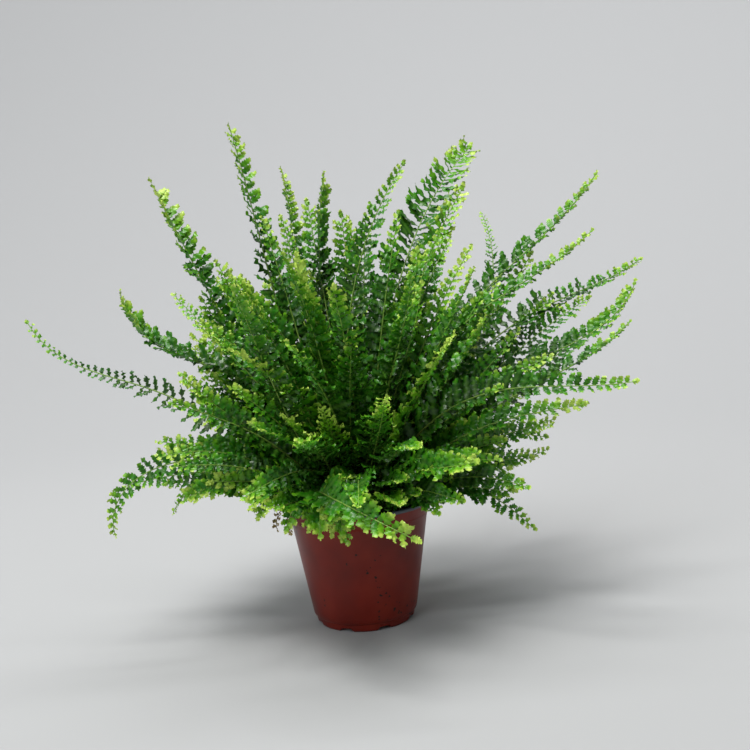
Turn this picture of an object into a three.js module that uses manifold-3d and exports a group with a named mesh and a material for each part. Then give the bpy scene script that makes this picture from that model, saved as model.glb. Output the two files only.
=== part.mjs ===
import * as THREE from "three";
import { mergeVertices } from "three/addons/utils/BufferGeometryUtils.js";
import Module from "manifold-3d";

// A small fern in a thin round nursery pot: pot, soil, crown and one solid for each frond.
// Millimetres, +Z up, origin at the middle of the pot's underside, -Y is the front.

const potHeight = 49;
const rimRadius = 30;
const wall = 0.8;
const gap = 0.3; // left between pieces that touch
const soilTop = 42.5;
const potSides = 40;
const notchCount = 8;

const crownRadius = 19;
const crownRise = 4.5;
const crownTop = soilTop + gap + crownRise;

const stemHalf = 0.8; // half the thickness of a stem
const stationStep = 5.6; // between two cross sections of a frond
const bladeLift = 20; // degrees the blade's halves stand up from the flat
const tipSweep = 20; // degrees the teeth lean towards the frond's tip
const bladeStart = 0.12; // share of the stem that is bare
const faceFront = 62; // degrees a blade at either flank rolls its face to the front
const stemClearance = 2.6;
const bladeClearance = 1.15;

const wasm = await Module();
wasm.setup();

const radians = (degrees) => (degrees * Math.PI) / 180;

function material(color, roughness) {
  return new THREE.MeshStandardMaterial({ color, roughness, metalness: 0 });
}

const pottedFern = new THREE.Group();
const foliage = new THREE.Group();
pottedFern.name = "potted_fern";
foliage.name = "foliage";
pottedFern.add(foliage);

function addMesh(group, name, geometry, color, roughness) {
  const mesh = new THREE.Mesh(geometry, material(color, roughness));
  mesh.name = name;
  group.add(mesh);
  return mesh;
}

function revolve(profile, sides) {
  const points = profile.map(([r, z]) => new THREE.Vector2(r, z));
  return new THREE.LatheGeometry(points, sides).rotateX(Math.PI / 2);
}

// ---- pot, soil and crown

// Half width of the pot's plain wall at a height.
const wallRadius = (z) => 21.6 + ((28.4 - 21.6) * (z - 3.6)) / (43 - 3.6);

const potProfile = [
  [0, 0],
  [9, 0],
  [10, 1.4],
  [15, 1.4],
  [16, 0],
  [19.8, 0],
  [20.4, 0.5],
  [20.7, 2.8],
  [21.6, 3.6],
  [wallRadius(23), 23],
  [wallRadius(43), 43],
  [29.1, 43.6],
  [29.3, 47.5],
  [rimRadius - 0.1, 47.9],
  [rimRadius, 48.4],
  [rimRadius - 0.4, potHeight],
  [rimRadius - 1.1, potHeight],
  [rimRadius - 1.6, 48.3],
  [28.4, 43.8],
  [wallRadius(43) - wall, 42.9],
  [wallRadius(23) - wall, 23],
  [21.6 - wall, 3.4],
  [19.8, 2.4],
  [0, 2.4],
];

function solid(geometry) {
  const bare = new THREE.BufferGeometry();
  bare.setAttribute("position", geometry.getAttribute("position"));
  bare.setIndex(geometry.index);
  const merged = mergeVertices(bare, 1e-3);
  return new wasm.Manifold(
    new wasm.Mesh({
      numProp: 3,
      vertProperties: merged.attributes.position.array,
      triVerts: new Uint32Array(merged.index.array),
    }),
  );
}

function fromSolid(made) {
  const mesh = made.getMesh();
  const geometry = new THREE.BufferGeometry();
  geometry.setAttribute("position", new THREE.BufferAttribute(mesh.vertProperties, 3));
  geometry.setIndex(new THREE.BufferAttribute(mesh.triVerts, 1));
  geometry.computeVertexNormals();
  return geometry;
}

// Drainage notches cut through the bottom corner, under the foot.
let pot = solid(revolve(potProfile, potSides));
for (let i = 0; i < notchCount; i++) {
  const notch = new THREE.BoxGeometry(4.6, 3.4, 3);
  notch.translate(18.9, 0, 0.1);
  notch.rotateZ(((i + 0.5) / notchCount) * 2 * Math.PI);
  pot = pot.subtract(solid(notch));
}
addMesh(pottedFern, "pot", fromSolid(pot), "#6e2c22", 0.45);

const soilProfile = [
  [0, 2.4 + gap],
  [19.6, 2.4 + gap],
  [21.6 - wall - gap, 3.7],
  [wallRadius(23) - wall - gap, 23],
  [wallRadius(41.3) - wall - gap, 41.3],
  [24, soilTop],
  [0, soilTop],
];
addMesh(pottedFern, "soil", revolve(soilProfile, potSides), "#2b1d14", 0.95);

// Height of the crown's dome at a distance from the middle.
const domeHeight = (r) => crownTop - crownRise * (r / crownRadius) ** 2;

const crownProfile = [[0, soilTop + gap]];
crownProfile.push([crownRadius, soilTop + gap]);
crownProfile.push([crownRadius, domeHeight(crownRadius) + 0.3]);
for (const r of [14, 8, 0]) crownProfile.push([r, domeHeight(r)]);
addMesh(pottedFern, "crown", revolve(crownProfile, 28), "#4a3a22", 0.9);

// ---- fronds

// heading: degrees round the pot from +X; rise: degrees above the level at the base;
// bend: degrees it droops by the tip; sweep: degrees it turns sideways by the tip;
// flick: degrees the last part turns back up; full: how wide the blade stays towards its tip.
// face: the share of faceFront that this blade rolls by, where it isn't all of it.
const chosenFronds = [
  { heading: 175, rise: 75, length: 162, bend: -8, sweep: 0, flick: -6, full: 0.4, face: 0.3 },
  { heading: 188, rise: 63, length: 147, bend: -5, sweep: 0, flick: 0, full: 0.9, face: 0.3 },
  { heading: 120, rise: 63, length: 153, bend: -36, sweep: 8, flick: -24, full: 0.5, face: -0.5 },
  { heading: 120, rise: 77, length: 138, bend: -20, sweep: 10, flick: 17, full: 0.7, face: -0.8 },
  { heading: 18, rise: 100, length: 146, bend: 48, sweep: -5, flick: 0 },
  { heading: 50, rise: 80, length: 187, bend: 46, sweep: -4, flick: 0, full: 1 },
  { heading: 30, rise: 79, length: 143, bend: 27, sweep: 0, flick: 0, full: 0.6 },
  { heading: 33, rise: 41, length: 189, bend: -11, sweep: 69, flick: -8, full: -0.1 },
  { heading: 8, rise: 72, length: 164, bend: 56, sweep: -25, flick: 39, face: 0.3 },
  { heading: 355, rise: 77, length: 145, bend: 80, sweep: -12, flick: 45, full: 0.2, face: 0.3 },
  { heading: 22, rise: 60, length: 178, bend: 71, sweep: 0, flick: 40, face: 0.65 },
  { heading: 352, rise: 56, length: 136, bend: 62, sweep: -6, flick: 75, full: 0.5, face: 0.3 },
  { heading: 338, rise: 47, length: 122, bend: 39, sweep: -4, flick: 39, face: 0.65 },
  { heading: 319, rise: 62, length: 126, bend: 99, sweep: 21, flick: 45 },
  { heading: 37, rise: 33, length: 113, bend: 65, sweep: -18, flick: 42 },
  { heading: 348, rise: 52, length: 78, bend: 84, sweep: 0, flick: 18 },
  { heading: 7, rise: 38, length: 75, bend: 78, sweep: 0, flick: 65 },
  { heading: 354, rise: 30, length: 63, bend: 101, sweep: -19, flick: 29 },
  { heading: 325, rise: 59, length: 44, bend: 136, sweep: 0, flick: 42 },
  { heading: 248, rise: 36, length: 95, bend: 73, sweep: 100, flick: 9, full: 0.7 },
  { heading: 197, rise: 47, length: 108, bend: 97, sweep: -4, flick: -54 },
  { heading: 160, rise: 34, length: 85, bend: 82, sweep: 0, flick: -10 },
  { heading: 172, rise: 47, length: 160, bend: 52, sweep: -6, flick: 69, full: -0.3 },
  { heading: 197, rise: 74, length: 124, bend: 89, sweep: 14, flick: 95, full: 1, face: 0.3 },
  { heading: 150, rise: 61, length: 127, bend: 33, sweep: 0, flick: 16 },
  { heading: 245, rise: 50, length: 110, bend: -12, sweep: 11, flick: -7, full: 0.5 },
  { heading: 262, rise: 44, length: 46, bend: 105, sweep: 15, flick: 10, full: 0.6 },
  { heading: 267, rise: 57, length: 61, bend: 101, sweep: -47, flick: -8, full: 0.6 },
  { heading: 300, rise: 55, length: 60, bend: 70, sweep: 20, flick: 0 },
  { heading: 5, rise: 49, length: 130, bend: 25, sweep: 0, flick: 2, full: 0.5 },
  { heading: 332, rise: 48, length: 97, bend: 54, sweep: 12, flick: 14, full: 0.5 },
  { heading: 76, rise: 81, length: 123, bend: 0, sweep: 46, flick: 5, full: 0.6 },
  { heading: 243, rise: 57, length: 69, bend: 98, sweep: -39, flick: 20, full: 0.6 },
];

// A repeatable value between 0 and 1 for frond n and setting k.
function chance(n, k) {
  const s = Math.sin(n * 12.9898 + k * 78.233) * 43758.5453;
  return s - Math.floor(s);
}

// The rest fill the tuft at golden-angle steps, upright in the middle and flatter outside.
const fillCount = 24;
const fronds = [...chosenFronds];
for (let n = 0; n < fillCount; n++) {
  const outer = (n + 0.5) / fillCount;
  fronds.push({
    heading: (250 + n * 137.508) % 360,
    rise: 80 - 46 * outer + 8 * (chance(n, 1) - 0.5),
    length: 108 - 42 * outer + 20 * chance(n, 20),
    bend: 12 + 48 * outer + 18 * chance(n, 3),
    sweep: 36 * (chance(n, 4) - 0.5),
    flick: 40 * chance(n, 5) - 10,
  });
}

// Each step of the stem turns by a little: pitch = rise - bend t^1.3 + flick u^2, with u the
// last four tenths, and heading = heading + sweep t^1.5.
function stemFrames(frond, steps) {
  const inward = Math.max(0.02, 1 - Math.min(frond.rise, 88) / 90);
  const base = crownRadius * Math.sqrt(inward);
  const turn = radians(frond.heading);
  const point = new THREE.Vector3(
    base * Math.cos(turn),
    base * Math.sin(turn),
    domeHeight(base) + 1.2,
  );
  const frames = [];
  for (let i = 0; i <= steps; i++) {
    const t = Math.min((i + 0.5) / steps, 1);
    const late = Math.max(0, (t - 0.6) / 0.4);
    const pitch = radians(frond.rise - frond.bend * t ** 1.3 + frond.flick * late ** 2);
    const way = radians(frond.heading + frond.sweep * t ** 1.5);
    const along = new THREE.Vector3(
      Math.cos(pitch) * Math.cos(way),
      Math.cos(pitch) * Math.sin(way),
      Math.sin(pitch),
    );
    const side = new THREE.Vector3(-Math.sin(way), Math.cos(way), 0);
    const above = new THREE.Vector3().crossVectors(along, side);
    frames.push({ t: i / steps, point: point.clone(), along, side, above, way });
    point.addScaledVector(along, frond.length / steps);
  }
  return frames;
}

// Distance from a point to the outside of the pot, its soil and its crown, near the rim.
function potDistance(p) {
  const r = Math.hypot(p.x, p.y);
  if (p.z > 60) return 99;
  const rim = Math.hypot(r - (rimRadius - 0.7), p.z - 48.3) - 0.9;
  if (r > rimRadius) return p.z > 48.3 ? rim : r - rimRadius;
  if (r > rimRadius - 1.6) return p.z > 48.3 ? rim : -1;
  const floor = r < crownRadius + 0.5 ? domeHeight(Math.min(r, crownRadius)) : soilTop;
  return Math.min(p.z - floor, rim, p.z > potHeight ? rim : rimRadius - 1.6 - r);
}

function leastDistance(points, others) {
  let least = Infinity;
  for (const p of points) {
    for (const q of others) {
      const d = (p.x - q.x) ** 2 + (p.y - q.y) ** 2 + (p.z - q.z) ** 2;
      if (d < least) least = d;
    }
  }
  return Math.sqrt(least);
}

// Each stem in turn swings sideways in small steps, then rises a little, until it is clear of
// the pot and of the stems before it.
const placed = [];
for (const frond of fronds) {
  let best = { clear: -Infinity };
  for (let k = 0; k < 100 && best.clear < stemClearance; k++) {
    const swing = (k % 2 ? 1.5 : -1.5) * Math.ceil((k % 25) / 2);
    const lift = 4 * Math.floor(k / 25);
    const tried = { ...frond, heading: frond.heading + swing, rise: frond.rise + lift };
    const stem = stemFrames(tried, 110).map((f) => f.point);
    const above = Math.min(...stem.slice(8).map(potDistance)) + 1.1;
    const clear = Math.min(leastDistance(stem, placed.flat()), above);
    if (clear > best.clear + 0.01) best = { clear, tried, stem };
  }
  Object.assign(frond, best.tried);
  placed.push(best.stem);
}

// Half width of the blade at share t of the stem: bare at first, widest a quarter of the way
// along, then tapering to the tip.
function bladeHalf(frond, t) {
  const full = frond.full ?? 0.25;
  const widest = 5.8 + 0.048 * frond.length;
  const opened = THREE.MathUtils.smoothstep(t, bladeStart - 0.06, bladeStart + 0.16);
  const taper = 1 - (0.92 - 0.4 * full) * Math.max(0, (t - 0.28) / 0.72) ** (1 + full);
  return widest * opened * Math.max(taper, 0.16);
}

// Points held so far in cubes of 3 mm, each with the half thickness of the solid there.
const cubes = new Map();
const cubeKey = (x, y, z) => x + "," + y + "," + z;
const cubeSide = 3;

function keep(points, owner) {
  for (const p of points) {
    const key = cubeKey(...[p.x, p.y, p.z].map((v) => Math.floor(v / cubeSide)));
    if (!cubes.has(key)) cubes.set(key, []);
    cubes.get(key).push({ ...p, owner });
  }
}

function isClear(points, owner) {
  return points.every((p) => {
    if (potDistance(p) < p.half + 0.6) return false;
    const [cx, cy, cz] = [p.x, p.y, p.z].map((v) => Math.floor(v / cubeSide));
    for (let i = 0; i < 27; i++) {
      const [dx, dy, dz] = [i % 3, Math.floor(i / 3) % 3, Math.floor(i / 9)];
      const near = cubes.get(cubeKey(cx + dx - 1, cy + dy - 1, cz + dz - 1));
      for (const q of near || []) {
        if (q.owner === owner) continue;
        const apart = Math.hypot(p.x - q.x, p.y - q.y, p.z - q.z);
        if (apart < p.half + q.half + bladeClearance) return false;
      }
    }
    return true;
  });
}

// Points about 1 mm apart over a tooth, a triangle from its foot on the stem to its tip.
function toothPoints(before, after, tip) {
  const length = tip.distanceTo(before.clone().lerp(after, 0.5));
  const rows = Math.max(2, Math.ceil(length));
  const points = [];
  for (let i = 1; i <= rows; i++) {
    const out = i / rows;
    const a = before.clone().lerp(tip, out);
    const b = after.clone().lerp(tip, out);
    const across = Math.max(1, Math.ceil(a.distanceTo(b)));
    for (let j = 0; j <= across; j++) {
      const p = a.clone().lerp(b, j / across);
      points.push({ x: p.x, y: p.y, z: p.z, half: stemHalf * (1 - out) });
    }
  }
  return points;
}

fronds.forEach((frond, n) => {
  const stem = stemFrames(frond, Math.ceil(frond.length)).map((f) => f.point);
  keep(stem.map((p) => ({ x: p.x, y: p.y, z: p.z, half: stemHalf })), n);
});

fronds.forEach((frond, n) => {
  const steps = Math.round(frond.length / stationStep);
  const frames = stemFrames(frond, steps);
  // blades on the plant's two flanks turn their upper faces towards the front
  const ownRoll = 30 * (chance(n, 7) - 0.5);
  const foot = frames[0].point.clone();
  const positions = [];
  frames.forEach((frame, i) => {
    const { t, point, along } = frame;
    const roll = radians(faceFront * (frond.face ?? 1) * Math.cos(frame.way) + ownRoll);
    const side = frame.side.clone().applyAxisAngle(along, roll);
    const above = frame.above.clone().applyAxisAngle(along, roll);
    const half = stemHalf * (1 - 0.45 * t);
    const reach = (toothed, sign) => {
      const bare = point.clone().addScaledVector(side, sign * half);
      const wide = bladeHalf(frond, t);
      if (!toothed || wide < 1.5 || i === 0) return bare;
      const out = side.clone().multiplyScalar(sign * Math.cos(radians(bladeLift)));
      out.addScaledVector(above, Math.sin(radians(bladeLift)));
      out.multiplyScalar(Math.cos(radians(tipSweep)));
      out.addScaledVector(along, Math.sin(radians(tipSweep)));
      const before = frames[i - 1].point;
      const after = frames[Math.min(i + 1, steps)].point;
      for (const share of [1, 0.85, 0.7, 0.55, 0.4, 0.28]) {
        const tip = point.clone().addScaledVector(out, wide * share);
        const points = toothPoints(before, after, tip);
        if (wide * share < 1.5 || !isClear(points, n)) continue;
        keep(points, n);
        return tip;
      }
      return bare;
    };
    const left = reach(i % 2 === 0, 1);
    const right = reach(i % 2 === 1, -1);
    const keel = point.clone().addScaledVector(above, -half);
    const ridge = point.clone().addScaledVector(above, half);
    for (const p of [keel, right, ridge, left]) positions.push(...p.sub(foot).toArray());
  });
  const index = [0, 1, 2, 0, 2, 3];
  for (let i = 0; i < steps; i++) {
    for (let k = 0; k < 4; k++) {
      const a = 4 * i + k;
      const b = 4 * i + ((k + 1) % 4);
      index.push(a, b + 4, b, a, a + 4, b + 4);
    }
  }
  const end = 4 * steps;
  index.push(end, end + 2, end + 1, end, end + 3, end + 2);
  const geometry = new THREE.BufferGeometry();
  geometry.setAttribute("position", new THREE.Float32BufferAttribute(positions, 3));
  geometry.setIndex(index);
  geometry.computeVertexNormals();
  const name = "frond_" + String(n + 1).padStart(2, "0");
  const mesh = addMesh(foliage, name, geometry, n % 3 ? "#3f7d24" : "#5c9a2e", 0.5);
  mesh.position.copy(foot);
});

export default pottedFern;
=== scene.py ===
import math

import bpy
import numpy as np
from mathutils import Matrix, Vector


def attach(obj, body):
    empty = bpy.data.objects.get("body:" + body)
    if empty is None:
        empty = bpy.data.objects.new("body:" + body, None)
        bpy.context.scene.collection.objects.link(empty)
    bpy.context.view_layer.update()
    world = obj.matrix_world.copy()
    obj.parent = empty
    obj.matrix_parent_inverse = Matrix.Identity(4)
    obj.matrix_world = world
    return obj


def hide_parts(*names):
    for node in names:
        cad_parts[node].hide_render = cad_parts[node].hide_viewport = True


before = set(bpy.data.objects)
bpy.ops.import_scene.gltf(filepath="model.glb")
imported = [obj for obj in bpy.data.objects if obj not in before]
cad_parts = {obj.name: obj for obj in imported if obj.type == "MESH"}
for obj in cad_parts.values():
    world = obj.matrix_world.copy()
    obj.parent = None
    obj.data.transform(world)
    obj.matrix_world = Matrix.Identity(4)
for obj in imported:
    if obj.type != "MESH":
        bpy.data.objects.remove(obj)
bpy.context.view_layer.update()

mm = 0.001  # the plant's sizes are in millimetres, the studio's in metres, as a mesh is


def toLinear(hexColour):
    # an sRGB hex value turned to the linear colour that a socket takes
    channels = [int(hexColour[i:i + 2], 16) / 255 for i in (1, 3, 5)]
    linear = [c / 12.92 if c <= 0.04045 else ((c + 0.055) / 1.055) ** 2.4 for c in channels]
    return (*linear, 1.0)


def addNode(tree, kind, settings=None, **links):
    # one node with its settings; a link or a plain value for each input, by name or as i0, i1...
    node = tree.nodes.new(kind)
    for name, value in (settings or {}).items():
        setattr(node, name, value)
    for name, value in links.items():
        key = int(name[1:]) if name[0] == "i" and name[1:].isdigit() else name.replace("_", " ")
        if isinstance(value, bpy.types.NodeSocket):
            tree.links.new(value, node.inputs[key])
        else:
            node.inputs[key].default_value = value
    return node


def newMaterial(name):
    # an empty material with only its output node
    made = bpy.data.materials.new(name)
    made.use_nodes = True
    made.node_tree.nodes.clear()
    return made, made.node_tree, addNode(made.node_tree, "ShaderNodeOutputMaterial")


def ramp(tree, factor, stops):
    # a colour ramp from (place, hex) stops
    node = addNode(tree, "ShaderNodeValToRGB", i0=factor)
    elements = node.color_ramp.elements
    while len(elements) < len(stops):
        elements.new(0.5)
    for element, (at, colour) in zip(elements, stops):
        element.position = at
        element.color = toLinear(colour)
    return node.outputs["Color"]


def meshObject(name, points, faces, finishes, faceFinish=None, smooth=True, sharpAngle=60):
    # points (n, 3) in millimetres and lists or arrays of faces, put into a mesh at the origin
    mesh = bpy.data.meshes.new(name)
    every = [face for group in faces for face in np.asarray(group).tolist()]
    mesh.from_pydata((np.asarray(points) * mm).tolist(), [], every)
    for finish in finishes:
        mesh.materials.append(finish)
    if faceFinish is not None:
        mesh.polygons.foreach_set("material_index", np.asarray(faceFinish, dtype=np.int32))
    mesh.polygons.foreach_set("use_smooth", np.full(len(every), smooth))
    mesh.update()
    if smooth:
        mesh.set_sharp_from_angle(angle=math.radians(sharpAngle))
    made = bpy.data.objects.new(name, mesh)
    bpy.context.scene.collection.objects.link(made)
    return made


def place(piece, node=None):
    # every piece stands on the one body, and shows in place of its CAD node if it has one
    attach(piece, "root")
    if node:
        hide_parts(node)


def unit(v):
    # each row brought to length 1
    return v / np.linalg.norm(v, axis=-1, keepdims=True)


def turned(v, axis, angle):
    # v turned about a unit axis by an angle, by Rodrigues' formula, row by row
    c, s = np.cos(angle)[..., None], np.sin(angle)[..., None]
    return v * c + np.cross(axis, v) * s + axis * (v * axis).sum(-1, keepdims=True) * (1 - c)


def ringTurns(sides):
    # the angles of evenly spaced corners round a ring
    return np.arange(sides) / sides * 2 * np.pi


def tubeQuads(rows, sides):
    # quads between neighbouring rings, whose corners are numbered ring by ring
    i, j = np.meshgrid(np.arange(rows - 1) * sides, np.arange(sides), indexing="ij")
    k = (j + 1) % sides
    return np.stack([i + j, i + k, i + sides + k, i + sides + j], -1).reshape(-1, 4)


def joinRings(rings, first, last):
    # rings (rows, sides, 3) that turn anticlockwise about the way they go, joined by quads and
    # closed at both ends by a fan to a point; gives all points, the quads and the fans
    rows, sides = rings.shape[:2]
    j, k = np.arange(sides), (np.arange(sides) + 1) % sides
    low, high, end = 0 * j + rows * sides, 0 * j + rows * sides + 1, (rows - 1) * sides
    fans = np.vstack([np.stack([low, k, j], -1), np.stack([high, end + j, end + k], -1)])
    return np.vstack([rings.reshape(-1, 3), [first], [last]]), tubeQuads(rows, sides), fans


def ripple(x, y, size, seed):
    # uneven bumps from a few turned sine waves, about -1 to 1
    total = 0
    for n, turn in enumerate((0.3, 1.4, 2.5, 3.7, 5.1)):
        c, s = math.cos(turn + seed), math.sin(turn + seed)
        total = total + np.sin((x * c + y * s) * (1 + 0.37 * n) / size + 9 * n + seed)
    return total / 3


# Injection-moulded polypropylene, brick red outside: a satin skin that is duller where it has
# been rubbed, with specks of damp peat stuck to it.
def terracottaPolypropylene():
    made, tree, output = newMaterial("terracottaPolypropylene")
    spot = addNode(tree, "ShaderNodeTexCoord").outputs["Object"]
    cloud = addNode(tree, "ShaderNodeTexNoise", Vector=spot, Scale=45.0, Detail=3.0, Roughness=0.55)
    base = ramp(tree, cloud.outputs["Fac"], [(0.3, "#5c1308"), (0.52, "#701a0c"), (0.72, "#7d2412")])
    # specks of peat about 0.4 mm across, in patches about 15 mm apart
    speck = addNode(tree, "ShaderNodeTexNoise", Vector=spot, Scale=620.0, Detail=1.0)
    patch = addNode(tree, "ShaderNodeTexNoise", Vector=spot, Scale=60.0, Detail=2.0)
    both = addNode(tree, "ShaderNodeMath", {"operation": "MULTIPLY"}, i0=speck.outputs["Fac"],
                   i1=patch.outputs["Fac"])
    dirt = addNode(tree, "ShaderNodeMapRange", Value=both.outputs[0], From_Min=0.405, From_Max=0.43)
    mixed = addNode(tree, "ShaderNodeMix", {"data_type": "RGBA"}, i0=dirt.outputs[0], i6=base,
                    i7=toLinear("#1a0f0a"))
    rough = addNode(tree, "ShaderNodeMapRange", Value=cloud.outputs["Fac"], To_Min=0.3, To_Max=0.46)
    fine = addNode(tree, "ShaderNodeTexNoise", Vector=spot, Scale=900.0, Detail=2.0)
    bump = addNode(tree, "ShaderNodeBump", Strength=0.06, Distance=0.0002, Height=fine.outputs["Fac"])
    shader = addNode(tree, "ShaderNodeBsdfPrincipled", Base_Color=mixed.outputs[2],
                     Roughness=rough.outputs[0], IOR=1.36, Normal=bump.outputs[0])
    tree.links.new(shader.outputs[0], output.inputs[0])
    return made


# The same moulding's dark second colour, on the rim's lip and the inside: slate, a little duller.
def slatePolypropylene():
    made, tree, output = newMaterial("slatePolypropylene")
    spot = addNode(tree, "ShaderNodeTexCoord").outputs["Object"]
    cloud = addNode(tree, "ShaderNodeTexNoise", Vector=spot, Scale=120.0, Detail=3.0)
    base = ramp(tree, cloud.outputs["Fac"], [(0.3, "#343b41"), (0.7, "#56616b")])
    bump = addNode(tree, "ShaderNodeBump", Strength=0.1, Distance=0.0002, Height=cloud.outputs["Fac"])
    shader = addNode(tree, "ShaderNodeBsdfPrincipled", Base_Color=base, Roughness=0.42, IOR=1.49,
                     Normal=bump.outputs[0])
    tree.links.new(shader.outputs[0], output.inputs[0])
    return made


# Damp milled peat: near-black brown with paler fibres 1 to 2 mm apart, rough all over.
def dampPeat():
    made, tree, output = newMaterial("dampPeat")
    spot = addNode(tree, "ShaderNodeTexCoord").outputs["Object"]
    grain = addNode(tree, "ShaderNodeTexNoise", Vector=spot, Scale=700.0, Detail=4.0, Roughness=0.7)
    base = ramp(tree, grain.outputs["Fac"], [(0.35, "#120b07"), (0.55, "#2a1b12"), (0.72, "#4b3524")])
    bump = addNode(tree, "ShaderNodeBump", Strength=0.7, Distance=0.0006, Height=grain.outputs["Fac"])
    shader = addNode(tree, "ShaderNodeBsdfPrincipled", Base_Color=base, Roughness=0.82,
                     Normal=bump.outputs[0])
    tree.links.new(shader.outputs[0], output.inputs[0])
    return made


# Dead fern fibre, on the crown's scales and on withered leaflets: dry, brown and matt, streaked
# with straw about every 2 mm.
def witheredFibre(name, stops):
    made, tree, output = newMaterial(name)
    spot = addNode(tree, "ShaderNodeTexCoord").outputs["Object"]
    grain = addNode(tree, "ShaderNodeTexNoise", Vector=spot, Scale=450.0, Detail=3.0)
    shader = addNode(tree, "ShaderNodeBsdfPrincipled", Base_Color=ramp(tree, grain.outputs["Fac"], stops),
                     Roughness=0.78)
    tree.links.new(shader.outputs[0], output.inputs[0])
    return made


# Living fern leaf: a waxy skin over green flesh, dark where it is old and yellow-green where it
# is new and at each leaflet's end, and a little light comes through it. leafTone holds r: place
# along the leaflet, g: how new it is, b: the leaflet's own value, a: nearness to the midrib.
def fernLeaf():
    made, tree, output = newMaterial("fernLeaf")
    tone = addNode(tree, "ShaderNodeAttribute", {"attribute_name": "leafTone"})
    split = addNode(tree, "ShaderNodeSeparateColor", i0=tone.outputs["Color"])
    along, fresh, own = split.outputs[0], split.outputs[1], split.outputs[2]
    spot = addNode(tree, "ShaderNodeTexCoord").outputs["Object"]
    mottle = addNode(tree, "ShaderNodeTexNoise", Vector=spot, Scale=380.0, Detail=2.0)
    tipward = addNode(tree, "ShaderNodeMath", {"operation": "POWER"}, i0=along, i1=3.0)
    share = addNode(tree, "ShaderNodeMath", {"operation": "MULTIPLY_ADD"}, i0=fresh, i1=0.6, i2=0.22)
    lit = addNode(tree, "ShaderNodeMath", {"operation": "MULTIPLY_ADD"}, i0=tipward.outputs[0],
                  i1=share.outputs[0], i2=fresh)
    varied = addNode(tree, "ShaderNodeMath", {"operation": "MULTIPLY_ADD"}, i0=own, i1=0.2,
                     i2=lit.outputs[0])
    mottled = addNode(tree, "ShaderNodeMath", {"operation": "MULTIPLY_ADD"}, i0=mottle.outputs["Fac"],
                      i1=0.14, i2=varied.outputs[0])
    colour = ramp(tree, mottled.outputs[0], [
        (0.15, "#042b01"), (0.35, "#0c4f02"), (0.55, "#277e05"), (0.8, "#76ba15"), (1.0, "#d0ec64")])
    rib = addNode(tree, "ShaderNodeMath", {"operation": "MULTIPLY"}, i0=tone.outputs["Alpha"], i1=0.35)
    ribbed = addNode(tree, "ShaderNodeMix", {"data_type": "RGBA"}, i0=rib.outputs[0], i6=colour,
                     i7=toLinear("#74a83a"))
    rough = addNode(tree, "ShaderNodeMapRange", Value=mottle.outputs["Fac"], To_Min=0.24, To_Max=0.38)
    bump = addNode(tree, "ShaderNodeBump", Strength=0.35, Distance=0.0005, Height=mottle.outputs["Fac"])
    skin = addNode(tree, "ShaderNodeBsdfPrincipled", Base_Color=ribbed.outputs[2],
                   Roughness=rough.outputs[0], IOR=1.44, Normal=bump.outputs[0])
    through = addNode(tree, "ShaderNodeBsdfTranslucent", Color=ribbed.outputs[2])
    both = addNode(tree, "ShaderNodeMixShader", i0=0.14, i1=skin.outputs[0], i2=through.outputs[0])
    tree.links.new(both.outputs[0], output.inputs[0])
    return made


# Fern stalk: firm and faintly glossy, tan at the foot and pale green above.
def fernStalk():
    made, tree, output = newMaterial("fernStalk")
    tone = addNode(tree, "ShaderNodeAttribute", {"attribute_name": "leafTone"})
    split = addNode(tree, "ShaderNodeSeparateColor", i0=tone.outputs["Color"])
    colour = ramp(tree, split.outputs[0], [
        (0.0, "#6b5028"), (0.14, "#857a3c"), (0.4, "#6f8a38"), (1.0, "#84b043")])
    shader = addNode(tree, "ShaderNodeBsdfPrincipled", Base_Color=colour, Roughness=0.42)
    tree.links.new(shader.outputs[0], output.inputs[0])
    return made


redPlastic = terracottaPolypropylene()
slatePlastic = slatePolypropylene()
peatFinish = dampPeat()
crownFinish = witheredFibre("crownScale", [(0.3, "#26180c"), (0.6, "#57401f"), (0.78, "#7a6232")])
witheredFinish = witheredFibre("witheredLeaf", [(0.3, "#6b5630"), (0.55, "#9c8a55"), (0.8, "#c8ba86")])
leafFinish = fernLeaf()
stalkFinish = fernStalk()
print("materials made")


pot = {
    "height": 49.0,
    "rim": 30.0,
    "wall": 0.8,
    "wallFrom": 3.6,      # the plain wall starts on the foot ring...
    "wallTo": 43.0,       # ...and ends under the rim band
    "wallFoot": 21.6,     # its outer radius at the one
    "wallTop": 28.4,      # and at the other
    "lipWidth": 1.6,
    "beadInset": 0.7,     # the lip's round edge, taken as a bead when a stem has to clear it
    "beadHeight": 48.3,
    "beadRadius": 0.9,
    "sides": 192,
    "notches": 8,
    "notchHalf": 2.3,
    "notchRise": 1.6,
    "padRadius": 9.0,     # flat middle of the underside
    "footRadius": 16.0,   # inner edge of the foot ring
    "footOuter": 20.5,    # and its outer edge
}


# Outer radius of the plain wall at a height: a straight line from its foot to its top.
def wallRadius(z):
    share = (z - pot["wallFrom"]) / (pot["wallTo"] - pot["wallFrom"])
    return pot["wallFoot"] + (pot["wallTop"] - pot["wallFoot"]) * share


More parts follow.
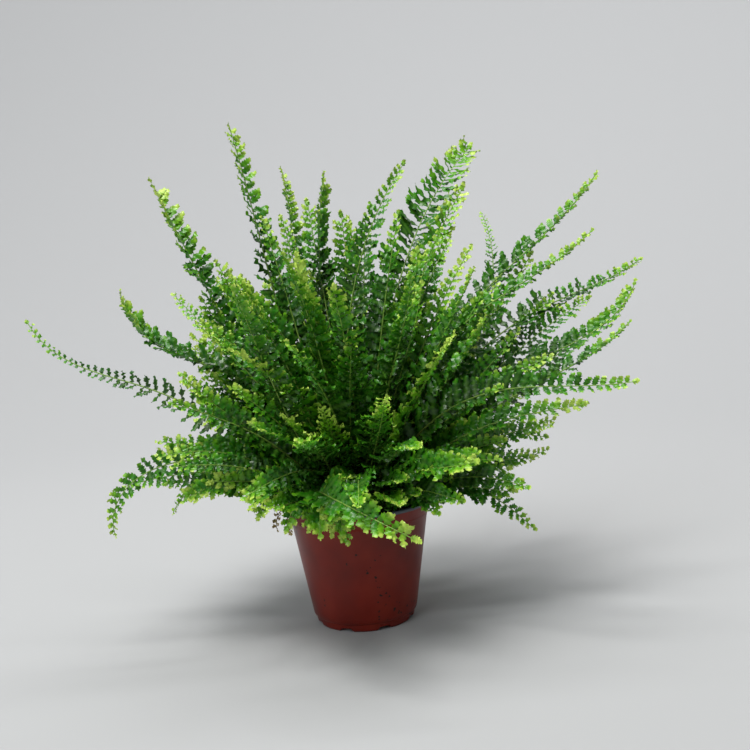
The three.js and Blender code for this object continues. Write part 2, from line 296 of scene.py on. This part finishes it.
# The section runs from the middle of the underside out, up the wall, over the rolled lip and
# down inside. It is carried round the axis, a little out of round towards the rim, and each
# notch lifts the foot's edge by a bell of the arc distance from the notch's middle.
def makePot():
    pad, foot = pot["padRadius"], pot["footRadius"]
    outside = [
        (5, 0), (pad, 0), (pad + 0.4, 0.2), (pad + 0.8, 1.1), (pad + 1.2, 1.4), (12.5, 1.4),
        (foot - 1.2, 1.4), (foot - 0.8, 1.1), (foot - 0.4, 0.2), (foot, 0), (17.2, 0), (18.4, 0),
        (19.2, 0.0), (19.8, 0.12), (20.2, 0.45), (20.35, 0.9), (20.5, 1.6), (20.65, 2.4), (20.7, 3.0),
        (20.9, 3.4), (21.35, 3.55), (pot["wallFoot"], 3.8), (wallRadius(6), 6), (wallRadius(14), 14),
        (wallRadius(23), 23), (wallRadius(33), 33), (wallRadius(42.4), 42.4), (pot["wallTop"], 42.9),
        (28.8, 43.2), (29.05, 43.7), (29.12, 44.6), (29.25, 46.6), (29.35, 47.4),
    ]
    lip = [
        (29.5, 47.65), (29.85, 47.8), (29.98, 48.1), (pot["rim"], 48.5), (29.85, 48.85),
        (29.5, pot["height"]), (29.1, pot["height"]), (28.7, 48.85), (28.5, 48.5), (28.45, 48.0),
        (28.4, 46), (28.35, 44), (28.1, 43.5), (27.7, 43.1),
        (wallRadius(42.4) - pot["wall"], 42.4), (wallRadius(23) - pot["wall"], 23),
        (wallRadius(6) - pot["wall"], 6), (20.8, 3.6), (20.4, 2.7), (19.8, 2.4), (12, 2.4),
    ]
    section = np.array(outside + lip)
    turn = ringTurns(pot["sides"])
    r, z = section[:, 0][:, None], section[:, 1][:, None]
    notchTurn = 2 * np.pi / pot["notches"]
    off = (turn / notchTurn - 0.5) - np.round(turn / notchTurn - 0.5)
    arc = np.abs(off * notchTurn) * pot["footOuter"]
    bell = np.clip((pot["notchHalf"] + 0.5 - arc) / 0.7, 0, 1)
    inFoot = (r > foot - 0.1) & (r < pot["wallFoot"] - 0.6) & (z < pot["notchRise"])
    lifted = np.where(inFoot, z + (pot["notchRise"] - z) * bell, z)
    outOfRound = 1 + 0.0012 * np.sin(turn * 3 + 0.6) * (z / pot["height"]) ** 2
    rings = np.stack([r * outOfRound * np.cos(turn), r * outOfRound * np.sin(turn), lifted + 0 * turn], -1)
    points, quads, fans = joinRings(rings, (0, 0, 0), (0, 0, 2.4))
    band = np.repeat(np.arange(len(section) - 1) >= len(outside) - 1, pot["sides"])
    finish = np.concatenate([band, np.zeros(pot["sides"]), np.ones(pot["sides"])])
    return meshObject("nurseryPot", points, [quads, fans], [redPlastic, slatePlastic], finish,
                      sharpAngle=50)


place(makePot(), "pot")
print("pot made")


soil = {
    "top": 42.5,
    "bottom": 2.7,
    "radius": 27.3,          # at the top, where it meets the wall
    "rings": 44,
    "sides": 150,
    "crumbs": 520,
    "crumbSize": (0.35, 1.3),
}


# Height of the peat at a place: nearly level, hollowed a little towards the wall, with lumps.
def peatHeight(x, y):
    r = np.hypot(x, y)
    return (soil["top"] - 0.55 + 0.4 * ripple(x, y, 3.1, 1.0) * np.clip((soil["radius"] - r) / 3, 0, 1)
            + 0.22 * ripple(x, y, 1.2, 4.0) - 0.5 * np.clip((r - 22) / 5, 0, 1))


# A closed block inside the pot: up the side wall in rings, then in over the lumpy top.
def makeSoil():
    turn, bottom, edge = ringTurns(soil["sides"]), soil["bottom"], soil["radius"]
    wallR = [8, 19.6, 20.4, wallRadius(23) - 1.1, edge]
    wallZ = np.array([bottom, bottom, bottom + 1, 23, 40.6])[:, None]
    r = np.concatenate([wallR, np.linspace(edge - 0.1, 0.6, soil["rings"])])[:, None]
    x, y = r * np.cos(turn), r * np.sin(turn)
    z = peatHeight(x, y)
    z[:len(wallR)] = wallZ
    points, quads, fans = joinRings(np.stack([x, y, z], -1), (0, 0, bottom), (0, 0, z[-1].mean()))
    return meshObject("peatBlock", points, [quads, fans], [peatFinish])


# The corners and faces of an icosahedron, the shape that every crumb starts from.
golden = (1 + 5 ** 0.5) / 2
lumpCorners = unit(np.array([
    (-1, golden, 0), (1, golden, 0), (-1, -golden, 0), (1, -golden, 0), (0, -1, golden), (0, 1, golden),
    (0, -1, -golden), (0, 1, -golden), (golden, 0, -1), (golden, 0, 1), (-golden, 0, -1), (-golden, 0, 1)]))
lumpFaces = np.array([
    (0, 11, 5), (0, 5, 1), (0, 1, 7), (0, 7, 10), (0, 10, 11), (1, 5, 9), (5, 11, 4), (11, 10, 2),
    (10, 7, 6), (7, 1, 8), (3, 9, 4), (3, 4, 2), (3, 2, 6), (3, 6, 8), (3, 8, 9), (4, 9, 5),
    (2, 4, 11), (6, 2, 10), (8, 6, 7), (9, 8, 1)])


# Crumbs strewn evenly over the peat. Each has its corners pushed in or out, is scaled three ways
# and is turned about an axis of its own.
def makeCrumbs():
    draw = np.random.default_rng(11)
    count = soil["crumbs"]
    low, high = soil["crumbSize"]
    size = low + (high - low) * draw.uniform(0, 1, count) ** 2.5
    farthest = soil["radius"] + 0.3 - size
    r = np.minimum((soil["radius"] - 0.1) * np.sqrt(draw.uniform(0.02, 1, count)), farthest)
    turn = draw.uniform(0, 2 * np.pi, count)
    x, y = r * np.cos(turn), r * np.sin(turn)
    middle = np.stack([x, y, peatHeight(x, y) + size * 0.3], -1)
    shape = lumpCorners * draw.uniform(0.65, 1.3, (count, 12, 1)) * draw.uniform(0.55, 1.25, (count, 1, 3))
    axis = unit(draw.normal(size=(count, 1, 3))) + np.zeros((count, 12, 3))
    shape = turned(shape, axis, draw.uniform(0, 6.28, (count, 1)) + np.zeros((count, 12)))
    points = (shape * size[:, None, None] + middle[:, None]).reshape(-1, 3)
    faces = (lumpFaces + 12 * np.arange(count)[:, None, None]).reshape(-1, 3)
    return meshObject("peatCrumbs", points, [faces], [peatFinish], smooth=False)


place(makeSoil(), "soil")
place(makeCrumbs())
print("soil made")


crown = {"radius": 19.0, "rise": 4.5, "floor": 42.8, "stubs": 90}
crownTop = crown["floor"] + crown["rise"]


# Height of the crown at a distance from the axis: a parabola that falls to its floor at the edge.
def domeHeight(r):
    return crownTop - crown["rise"] * (r / crown["radius"]) ** 2


# The mound that the fronds grow from: a shallow dome with lumps, on a flat underside.
def makeCrown():
    turn = ringTurns(72)
    under, edge = crown["floor"] - 0.6, crown["radius"]
    r = np.concatenate([[1.0, edge - 0.5, edge], np.linspace(edge - 0.2, 1.0, 16)])[:, None]
    x, y = r * np.cos(turn), r * np.sin(turn)
    z = domeHeight(r) + 0.35 * ripple(x, y, 1.6, 2.0) - 0.25
    z[:3] = np.array([under, under, under + 0.4])[:, None]
    points, quads, fans = joinRings(np.stack([x, y, z], -1), (0, 0, under), (0, 0, crownTop - 0.2))
    return meshObject("crownMound", points, [quads, fans], [crownFinish])


# Short brown stubs and scales on the mound: five-sided cones with a blunt end, leaning outwards.
def makeStubs():
    draw = np.random.default_rng(21)
    count = crown["stubs"]
    r = crown["radius"] * 0.95 * np.sqrt(draw.uniform(0, 1, count))
    turn = draw.uniform(0, 2 * np.pi, count)
    foot = np.stack([r * np.cos(turn), r * np.sin(turn), domeHeight(r) - 0.6], -1)[:, None]
    outwards = np.stack([np.cos(turn) * r / 20, np.sin(turn) * r / 20, np.ones(count)], -1)
    lean = unit(outwards + draw.normal(0, 0.35, (count, 3)))[:, None]
    side = unit(np.cross(lean, draw.normal(size=(count, 1, 3))))
    corner = ringTurns(5)[None, :, None]
    ring = np.cos(corner) * side + np.sin(corner) * np.cross(lean, side)
    ring = ring * draw.uniform(0.3, 0.7, (count, 1, 1))
    top = foot + lean * draw.uniform(1.5, 4.5, (count, 1, 1))
    points = np.concatenate([foot + ring, top + ring * 0.45], 1).reshape(-1, 3)
    j, start = np.arange(5), 10 * np.arange(count)[:, None]
    k = (j + 1) % 5
    sides = (np.stack([j, k, k + 5, j + 5], -1) + start[:, None]).reshape(-1, 4)
    return meshObject("crownStubs", points, [sides, j[::-1] + start, j + 5 + start], [crownFinish],
                      smooth=False)


place(makeCrown(), "crown")
place(makeStubs())
print("crown made")


# heading: degrees round the pot from +X; rise: degrees above the level at the base;
# bend: degrees it droops by the tip; sweep: degrees it turns sideways by the tip;
# flick: degrees the last part turns back up; full: how wide the blade stays towards its tip;
# face: the share of faceFront that its blade rolls by, where it isn't all of it.
frondKeys = ("heading", "rise", "length", "bend", "sweep", "flick", "full", "face")
chosenFronds = [
    (175, 75, 162, -8, 0, -6, 0.4, 0.3), (188, 63, 147, -5, 0, 0, 0.9, 0.3),
    (120, 63, 153, -36, 8, -24, 0.5, -0.5), (120, 77, 138, -20, 10, 17, 0.7, -0.8), (18, 100, 146, 48, -5, 0),
    (50, 80, 187, 46, -4, 0, 1), (30, 79, 143, 27, 0, 0, 0.6), (33, 41, 189, -11, 69, -8, -0.1),
    (8, 72, 164, 56, -25, 39, 0.25, 0.3), (355, 77, 145, 80, -12, 45, 0.2, 0.3),
    (22, 60, 178, 71, 0, 40, 0.25, 0.65), (352, 56, 136, 62, -6, 75, 0.5, 0.3),
    (338, 47, 122, 39, -4, 39, 0.25, 0.65), (319, 62, 126, 99, 21, 45), (37, 33, 113, 65, -18, 42),
    (348, 52, 78, 84, 0, 18), (7, 38, 75, 78, 0, 65), (354, 30, 63, 101, -19, 29), (325, 59, 44, 136, 0, 42),
    (248, 36, 95, 73, 100, 9, 0.7), (197, 47, 108, 97, -4, -54), (160, 34, 85, 82, 0, -10),
    (172, 47, 160, 52, -6, 69, -0.3), (197, 74, 124, 89, 14, 95, 1, 0.3), (150, 61, 127, 33, 0, 16),
    (245, 50, 110, -12, 11, -7, 0.5), (262, 44, 46, 105, 15, 10, 0.6), (267, 57, 61, 101, -47, -8, 0.6),
    (300, 55, 60, 70, 20, 0), (5, 49, 130, 25, 0, 2, 0.5), (332, 48, 97, 54, 12, 14, 0.5),
    (76, 81, 123, 0, 46, 5, 0.6), (243, 57, 69, 98, -39, 20, 0.6),
]
tuft = {
    "fillCount": 24,
    "youngCount": 110,
    "faceFront": 62,       # degrees a blade at either flank rolls its face to the front
    "rollSpread": 30,      # degrees of its own roll, from one side to the other
    "stemClearance": 2.6,
    "tries": 100,          # places tried for a stem
    "swings": 25,          # how many of them at each rise
    "swingStep": 1.5,      # degrees
    "riseStep": 4,
    "bladeStart": 0.12,    # share of the stalk that is bare
    "bladeEnd": 0.985,
}


# A repeatable value between 0 and 1 for frond n and setting k: the fraction of a large sine.
def chance(n, k):
    return (math.sin(n * 12.9898 + k * 78.233) * 43758.5453) % 1


# Each step of the stem turns by a little: pitch = rise - bend t^1.3 + flick u^2, with u the
# last four tenths, and heading = heading + sweep t^1.5; the points are the steps' running sum.
def stemFrames(frond, steps):
    inward = max(0.02, 1 - min(frond["rise"], 88) / 90)
    base = crown["radius"] * math.sqrt(inward)
    turn = math.radians(frond["heading"])
    t = np.minimum((np.arange(steps + 1) + 0.5) / steps, 1)
    late = np.maximum(0, (t - 0.6) / 0.4)
    pitch = np.radians(frond["rise"] - frond["bend"] * t ** 1.3 + frond["flick"] * late ** 2)
    way = np.radians(frond["heading"] + frond["sweep"] * t ** 1.5)
    along = np.stack([np.cos(pitch) * np.cos(way), np.cos(pitch) * np.sin(way), np.sin(pitch)], -1)
    side = np.stack([-np.sin(way), np.cos(way), 0 * way], -1)
    start = np.array([base * math.cos(turn), base * math.sin(turn), domeHeight(base) + 1.2])
    run = np.vstack([np.zeros(3), np.cumsum(along[:-1], 0)]) * frond["length"] / steps
    return {"t": np.arange(steps + 1) / steps, "point": start + run, "along": along, "side": side,
            "above": np.cross(along, side), "way": way}


# Distance from points to the pot's lip and wall, its soil and its crown, and 99 well above them,
# where there is nothing to meet.
def potDistance(points):
    r, z = np.hypot(points[:, 0], points[:, 1]), points[:, 2]
    rim, bore, bead = pot["rim"], pot["rim"] - pot["lipWidth"], pot["beadHeight"]
    toLip = np.hypot(r - (rim - pot["beadInset"]), z - bead) - pot["beadRadius"]
    floor = np.where(r < crown["radius"] + 0.5, domeHeight(np.minimum(r, crown["radius"])), soil["top"])
    inside = np.minimum(np.minimum(z - floor, toLip), np.where(z > pot["height"], toLip, bore - r))
    within = np.where(z > bead, toLip, -1)
    outside = np.where(z > bead, toLip, r - rim)
    nearest = np.where(r > rim, outside, np.where(r > bore, within, inside))
    return np.where(z > pot["height"] + 11, 99, nearest)


# The least distance from any point of one set to any point of the other.
def leastDistance(a, b):
    if not len(b):
        return 1e9
    gaps = (a * a).sum(1)[:, None] + (b * b).sum(1)[None] - 2 * a @ b.T
    return math.sqrt(max(float(gaps.min()), 0))


# Each stem in turn swings sideways in small steps, then rises a little, until it is clear of
# the pot and of the stems before it.
def placeStems(fronds):
    placed = np.zeros((0, 3))
    for frond in fronds:
        best, bestClear, bestStem = frond, -1e9, None
        for k in range(tuft["tries"]):
            if bestClear >= tuft["stemClearance"]:
                break
            direction = 1 if k % 2 else -1
            swing = direction * tuft["swingStep"] * math.ceil((k % tuft["swings"]) / 2)
            tried = dict(frond, heading=frond["heading"] + swing,
                         rise=frond["rise"] + tuft["riseStep"] * (k // tuft["swings"]))
            stem = stemFrames(tried, 110)["point"]
            clear = min(leastDistance(stem, placed), float(potDistance(stem[8:]).min()) + 1.1)
            if clear > bestClear + 0.01:
                best, bestClear, bestStem = tried, clear, stem
        frond.update(best)
        placed = np.vstack([placed, bestStem])


# The full-grown fronds: those listed, then the rest at golden-angle steps, upright in
# the middle and flatter outside.
fronds = [dict(zip(frondKeys, row)) for row in chosenFronds]
for n in range(tuft["fillCount"]):
    outer = (n + 0.5) / tuft["fillCount"]
    fronds.append({
        "heading": (250 + n * 137.508) % 360,
        "rise": 80 - 46 * outer + 8 * (chance(n, 1) - 0.5),
        "length": 108 - 42 * outer + 20 * chance(n, 20),
        "bend": 12 + 48 * outer + 18 * chance(n, 3),
        "sweep": 36 * (chance(n, 4) - 0.5),
        "flick": 40 * chance(n, 5) - 10,
    })
placeStems(fronds)

# Young fronds between them, which only have to clear the pot: some listed, at the top of
# the tuft, over the front of the rim and on the flanks, then the rest.
youngFronds = [dict(zip(frondKeys, row)) for row in (
    (20, 78, 118, 22, 0, 0), (350, 74, 112, 18, 0, 0), (340, 80, 115, 20, 0, 0), (0, 84, 120, 8, 0, 0),
    (60, 84, 122, 5, 0, 0), (180, 80, 122, 4, 0, 0), (150, 82, 124, 6, 0, 0), (225, 50, 50, 80, 10, 0, 0.8),
    (238, 54, 44, 115, 0, 0, 0.8), (212, 44, 66, 68, 0, 0, 0.8), (252, 50, 56, 105, 20, 0, 0.8),
    (205, 44, 60, 66, 0, 0, 0.8), (250, 60, 40, 135, 0, 0, 0.9), (232, 56, 50, 104, -10, 0, 0.8),
    (258, 58, 50, 120, -20, 0, 0.9), (262, 52, 52, 110, 10, 0, 0.9), (265, 58, 46, 128, -20, 0, 0.9),
    (190, 67, 100, 15, 0, 10, 0.6), (190, 61, 90, 15, 0, 10, 0.6), (120, 85, 130, 15, 0, 10, 0.5),
    (310, 61, 110, 15, 0, 10), (0, 61, 120, 15, 0, 10), (0, 43, 120, 15, 0, 10), (20, 61, 110, 15, 0, 10),
    (350, 55, 90, 15, 0, 10), (20, 49, 120, 15, 0, 10), (190, 73, 110, 15, 0, 10, 0.6),
    (80, 85, 120, 15, 0, 10))]
for n in range(tuft["youngCount"]):
    outer = chance(n, 11)
    youngFronds.append({
        "heading": (95 + n * 137.508) % 360,
        "rise": 86 - 54 * outer,
        "length": 88 - 46 * outer + 26 * chance(n, 12),
        "bend": 8 + 30 * outer + 30 * chance(n, 13),
        "sweep": 50 * (chance(n, 14) - 0.5),
        "flick": 30 * chance(n, 15),
        "full": 0.25 + 0.5 * chance(n, 16),
    })
for frond in youngFronds:
    while potDistance(stemFrames(frond, 40)["point"][4:]).min() < 2:
        frond["rise"] += 3
print("stems placed")

# The leaflet's shape, on a grid of stations along it and four corners round it.
leaflet = {
    "stations": 16,
    "lobes": (3, 5),       # on small and on large leaflets; both divide the steps between stations
    "largeFrom": 3.2,      # length from which a leaflet has the greater number of lobes
    "least": 1.9,          # shortest length
    "notch": 0.42,         # how deep the notches between lobes cut into the half width
    "thickness": 0.2,      # at the midrib
    "spacing": 0.19,       # of the leaflet's length, plus the least spacing
    "leastSpacing": 2.1,
    "ear": 0.3,            # how far the ear at the foot widens its side
    "forward": 0.33,       # how far each lobe's end is moved on, over the lobe's length
    "ruffle": 0.32,        # height of the waves at the edge over the half width
    "crinkle": 0.11,       # the same for each lobe's own tilt
    "lift": (20, 9),       # degrees it stands up from the frond's flat, and how much that varies
    "lean": (20, 8),       # degrees it leans towards the frond's tip
    "twist": (20, 13),     # degrees it turns about its own length
    "size": (0.85, 1.12),  # least and greatest, as a share of the length for its place
}


# Length of a leaflet at share t of the stem: none at first, longest a quarter of the way along,
# then shorter to the tip.
def bladeHalf(frond, t):
    full = frond.get("full", 0.25)
    widest = (5.8 + 0.048 * frond["length"]) * frond.get("wide", 1)
    x = np.clip((t - tuft["bladeStart"] + 0.06) / 0.22, 0, 1)
    opened = x * x * (3 - 2 * x)
    taper = 1 - (0.92 - 0.4 * full) * np.maximum(0, (t - 0.28) / 0.72) ** (1 + full)
    return widest * opened * np.maximum(taper, 0.16)


# Places of the leaflets along a stem, as shares of its length, crowded together towards the tip.
def leafletPlaces(frond):
    t, places = tuft["bladeStart"], []
    crowding = 1.1 - 0.4 * frond.get("full", 0.25)
    while t < tuft["bladeEnd"]:
        places.append(t)
        step = leaflet["spacing"] * float(bladeHalf(frond, np.array(t))) + leaflet["leastSpacing"]
        t += crowding * step / frond["length"]
    return np.array(places)


# Half width of a leaflet at share u: a short stalk, sides that swell a little, a blunt tip.
def leafletOutline(u):
    opened = np.clip(0.22 + u / 0.1, 0, 1)
    return opened * np.sqrt(np.clip(1 - np.clip(u, 0, 1) ** 5, 0, 1)) * (0.88 + 0.24 * np.sin(np.pi * u))


# Every leaflet on one side of a frond at once. Corner k of station i lies at
#   foot + X axis + Y across + Z face, with X the length along, Y the outline times a lobe wave
# (teeth that rise slowly and drop fast), and Z an arch along the length, a trough across it, a
# ruffle and a crinkle at the edge, and the thickness at the midrib.
def leafletPoints(foot, axis, across, face, size, width, draw):
    count, stations = len(foot), leaflet["stations"]
    u = np.linspace(0, 1, stations)
    few, many = leaflet["lobes"]
    long = size[:, None]
    lobes = np.where(long > leaflet["largeFrom"], many, few)
    phases = (lobes * u, lobes * u + 1 / 3)
    crests = [np.minimum(phase % 1 / 0.7, (1 - phase % 1) / 0.3) ** 0.8 for phase in phases]
    half = width[:, None] * 0.5
    left, right = (half * leafletOutline(u) * (1 - leaflet["notch"] * (1 - crest)) for crest in crests)
    # an ear at the foot, on the side of the frond's tip
    left = left * (1 + leaflet["ear"] * np.exp(-((u - 0.14) / 0.08) ** 2))
    x = long * u
    forward = leaflet["forward"] * long / lobes
    xLeft, xRight = (x + forward * (phase % 1) * crest for phase, crest in zip(phases, crests))
    arch = long * (0.1 * u - draw.uniform(-0.03, 0.3, (count, 1)) * u ** 2)
    trough = draw.uniform(-0.05, 0.45, (count, 1))
    swing = draw.uniform(0, 6.28, (count, 1))
    beats = lobes * draw.uniform(0.35, 0.55, (count, 1))
    ruffle = leaflet["ruffle"] * draw.uniform(0.4, 1.6, (count, 1))
    crinkle = leaflet["crinkle"] * draw.normal(0, 1, (2, count, stations))
    zLeft, zRight = (
        arch + edge * trough
        + half * (ruffle * np.sin(2 * np.pi * beats * u + swing + 2.2 * n) + crinkle[n] * crests[n])
        for n, edge in enumerate((left, right)))
    thick = leaflet["thickness"] * np.clip(1.1 - u, 0.15, 1) * 0.5
    bowed = draw.normal(0, 0.07, (count, 1)) * long * u ** 2
    corners = np.stack([
        np.stack([xLeft, left + bowed, zLeft], -1),
        np.stack([x, bowed, arch + thick], -1),
        np.stack([xRight, -right + bowed, zRight], -1),
        np.stack([x, bowed, arch - thick], -1),
    ], 2)
    return (foot[:, None, None] + corners[..., :1] * axis[:, None, None]
            + corners[..., 1:2] * across[:, None, None] + corners[..., 2:3] * face[:, None, None])


# Each leaflet's sides and its two ends, for a number of leaflets whose points follow each other.
def leafletFaces(count):
    stations = leaflet["stations"]
    end = 4 * (stations - 1)
    quads = np.vstack([tubeQuads(stations, 4), [[3, 2, 1, 0]], [[end, end + 1, end + 2, end + 3]]])
    return (quads + 4 * stations * np.arange(count)[:, None, None]).reshape(-1, 4)


# Rows of values given at places along the stem, read off between them.
def between(values, places, at):
    return np.stack([np.interp(at, places, column) for column in values.T], -1)


stalk = {
    "sides": 6,
    "foot": 0.6,       # radius at the foot
    "thinning": 0.42,  # how much less it is at the tip
    "sunk": 1.6,       # how far the foot reaches back into the crown
}


# The stalk: a tube along the stem that thins with the share along it to the power 0.8, and is
# thicker on a long frond. Its tone holds only the share along.
def stalkParts(frond, stem, side, above):
    share = stem["t"][:, None, None]
    radius = (stalk["foot"] - stalk["thinning"] * share ** 0.8) * (0.7 + frond["length"] / 500)
    turn = ringTurns(stalk["sides"])[None, :, None]
    tube = stem["point"][:, None] + radius * (np.cos(turn) * side[:, None] + np.sin(turn) * above[:, None])
    tube[0] -= stalk["sunk"] * stem["along"][0]
    first = stem["point"][0] - (stalk["sunk"] + 0.2) * stem["along"][0]
    last = stem["point"][-1] + 0.4 * stem["along"][-1]
    points, quads, fans = joinRings(tube, first, last)
    tones = np.zeros((len(points), 4))
    tones[:, 0] = np.append(np.repeat(stem["t"], stalk["sides"]), (0, 1))
    return points, tones, quads, fans


# The leaflets at shares t of the stem, on the side that sign gives: each one's axis is turned
# up from the blade and towards the frond's tip, and the leaflet is twisted about it.
def leafletSide(frond, stem, side, above, t, sign, newness, draw):
    count, ending = len(t), t > 0.99
    foot = between(stem["point"], stem["t"], t)
    onward, outward, upward = (unit(between(v, stem["t"], t)) for v in (stem["along"], sign * side, above))
    (liftMean, liftSpread), (leanMean, leanSpread) = leaflet["lift"], leaflet["lean"]
    twistMean, twistSpread = leaflet["twist"]
    lift = np.radians(liftMean + draw.normal(0, liftSpread, count))[:, None]
    lean = np.radians(leanMean + draw.normal(0, leanSpread, count) + 12 * t ** 3)[:, None]
    lean[ending] = 1.4  # the last one ends the frond
    axis = unit(np.cos(lean) * (np.cos(lift) * outward + np.sin(lift) * upward) + np.sin(lean) * onward)
    across = unit(onward - (onward * axis).sum(1, keepdims=True) * axis)
    face = np.cross(axis, across) * sign
    twist = np.radians(np.where(ending, 0, twistMean + draw.normal(0, twistSpread, count))) * sign
    across, face = turned(across, axis, twist), turned(face, axis, twist)
    size = np.maximum(bladeHalf(frond, t) * draw.uniform(*leaflet["size"], count), leaflet["least"])
    width = size * (0.29 + 0.8 * np.exp(-size / 3.4)) + 0.3  # small leaflets are nearly round
    points = leafletPoints(foot, axis, across, face, size, width, draw)
    if sign < 0:
        points = points[:, :, ::-1]  # keeps the faces outwards
    fresh = newness + (0.6 - 0.3 * newness) * np.clip((t - 0.55) / 0.45, 0, 1) ** 2
    tones = np.zeros((count, leaflet["stations"], 4, 4))
    tones[..., 0] = np.linspace(0, 1, leaflet["stations"])[None, :, None]
    tones[..., 1] = fresh[:, None, None]
    tones[..., 2] = draw.uniform(0, 1, count)[:, None, None]
    tones[..., 3] = np.array([0, 1, 0, 1])
    return points.reshape(-1, 3), tones.reshape(-1, 4)


# A tapering stalk along the stem and alternate leaflets on its two sides, in one mesh.
def makeFrond(name, frond, n, newness, finishes):
    draw = np.random.default_rng(100 + n)
    stem = stemFrames(frond, max(24, int(frond["length"] / 2)))
    # blades on the plant's two flanks turn their upper faces towards the front
    facing = tuft["faceFront"] * frond.get("face", 1)
    roll = np.radians(facing * np.cos(stem["way"]) + tuft["rollSpread"] * (chance(n, 7) - 0.5))
    side = turned(stem["side"], stem["along"], roll)
    above = turned(stem["above"], stem["along"], roll)
    stalkPoints, stalkTones, stalkQuads, stalkFans = stalkParts(frond, stem, side, above)
    one = leafletPlaces(frond)
    other = one + 0.5 * np.gradient(one)
    sides = ((np.append(one, 0.992), 1), (other[other < tuft["bladeEnd"]], -1))
    parts = [(stalkPoints, stalkTones)]
    parts += [leafletSide(frond, stem, side, above, t, sign, newness, draw) for t, sign in sides]
    points, tones = (np.vstack(part) for part in zip(*parts))
    leafCount = (len(points) - len(stalkPoints)) // (4 * leaflet["stations"])
    leafQuads = leafletFaces(leafCount) + len(stalkPoints)
    finish = np.concatenate([np.ones(len(stalkQuads)), np.zeros(len(leafQuads)), np.ones(len(stalkFans))])
    piece = meshObject(name, points, [stalkQuads, leafQuads, stalkFans], finishes, finish, sharpAngle=70)
    piece.data.attributes.new("leafTone", "FLOAT_COLOR", "POINT").data.foreach_set(
        "color", tones.astype(np.float32).ravel())
    return piece


livingFinishes = (leafFinish, stalkFinish)
for n, frond in enumerate(fronds):
    newness = 0.05 + 0.26 * chance(n, 21) ** 2
    place(makeFrond("fernFrond%02d" % (n + 1), frond, n, newness, livingFinishes),
          "frond_%02d" % (n + 1))
for n, frond in enumerate(youngFronds):
    newness = 0.08 + 0.42 * chance(n, 22) ** 3
    place(makeFrond("youngFrond%02d" % (n + 1), frond, 200 + n, newness, livingFinishes))
print("fronds made")

# Short dead fronds that lie over the rim on the left.
witheredFronds = [(196, 46, 25, 150, 0, 0), (184, 42, 29, 140, -10, 0), (207, 48, 27, 150, 10, 0)]
for n, row in enumerate(witheredFronds):
    frond = dict(zip(frondKeys, row), wide=0.5)
    place(makeFrond("witheredFrond%02d" % (n + 1), frond, 300 + n, 0.2, (witheredFinish, witheredFinish)))
print("withered fronds made")


studio = {
    "floor": "#b3b4b5",
    "flat": 0.6,          # radius of the level middle of the floor
    "curve": 1.7,         # radius of the bend from floor to wall
    "top": 3.0,           # height of the wall
    "corners": 96,
    "daylight": "#eef0f3",
    "daylightStrength": 0.17,
    "lens": 38.928,       # in millimetres, as the sensor is
    "sensor": 36,
    "place": (0.0105, -0.335, 0.121),
    "down": 3.5,          # degrees the camera looks down
    "lean": 3.9,          # degrees it is tilted sideways
}


# A round floor that curves up into a wall on every side: a profile turned about the upright axis.
def makeFloor():
    bend = np.linspace(0, np.pi / 2, 24)
    flat, radius, corners = studio["flat"], studio["curve"], studio["corners"]
    out = np.append(flat + radius * np.sin(bend), flat + radius)[:, None]
    up = np.append(radius - radius * np.cos(bend), studio["top"])[:, None]
    turn = ringTurns(corners)
    points = np.stack([out * np.cos(turn), out * np.sin(turn), up + 0 * turn], -1).reshape(-1, 3)
    quads = tubeQuads(len(out), corners)[:, ::-1]  # it is seen from within
    made, tree, output = newMaterial("paleFloor")
    shader = addNode(tree, "ShaderNodeBsdfPrincipled", Base_Color=toLinear(studio["floor"]), Roughness=0.9)
    tree.links.new(shader.outputs[0], output.inputs[0])
    return meshObject("paleFloor", points / mm, [quads, np.arange(corners)[None]], [made])


makeFloor()

scene = bpy.context.scene
world = bpy.data.worlds.new("softDaylight")
scene.world = world
world.use_nodes = True
world.node_tree.nodes["Background"].inputs["Color"].default_value = toLinear(studio["daylight"])
world.node_tree.nodes["Background"].inputs["Strength"].default_value = studio["daylightStrength"]


# A soft rectangular light at a spot, turned to shine at its aim.
def addLight(name, spot, aim, width, height, power, colour):
    lamp = bpy.data.lights.new(name, "AREA")
    lamp.shape = "RECTANGLE"
    lamp.size, lamp.size_y = width, height
    lamp.energy = power
    lamp.color = toLinear(colour)[:3]
    made = bpy.data.objects.new(name, lamp)
    made.location = spot
    made.rotation_euler = (Vector(aim) - Vector(spot)).to_track_quat("-Z", "Y").to_euler()
    scene.collection.objects.link(made)


addLight("ceilingLight", (-0.2, -0.45, 1.4), (0, 0, 0.1), 0.6, 0.5, 17, "#fffefb")
addLight("windowLight", (-0.9, -1.3, 1.1), (0, 0, 0.1), 0.8, 0.8, 9, "#f6fbff")
addLight("wallLight", (0.2, 0.35, 1.9), (0.1, 2.0, 0.75), 1.6, 0.5, 38, "#ffffff")

camera = bpy.data.cameras.new("viewCamera")
camera.lens = studio["lens"]
camera.sensor_width = studio["sensor"]
camera.clip_start = 0.01
cameraObject = bpy.data.objects.new("viewCamera", camera)
cameraObject.location = studio["place"]
down, lean = math.radians(studio["down"]), math.radians(studio["lean"])
tipped = Matrix.Rotation(math.pi / 2 - down, 4, "X") @ Matrix.Rotation(-lean, 4, "Z")
cameraObject.rotation_euler = tipped.to_euler()
scene.collection.objects.link(cameraObject)
scene.camera = cameraObject
scene.view_settings.view_transform = "Standard"
scene.view_settings.look = "None"
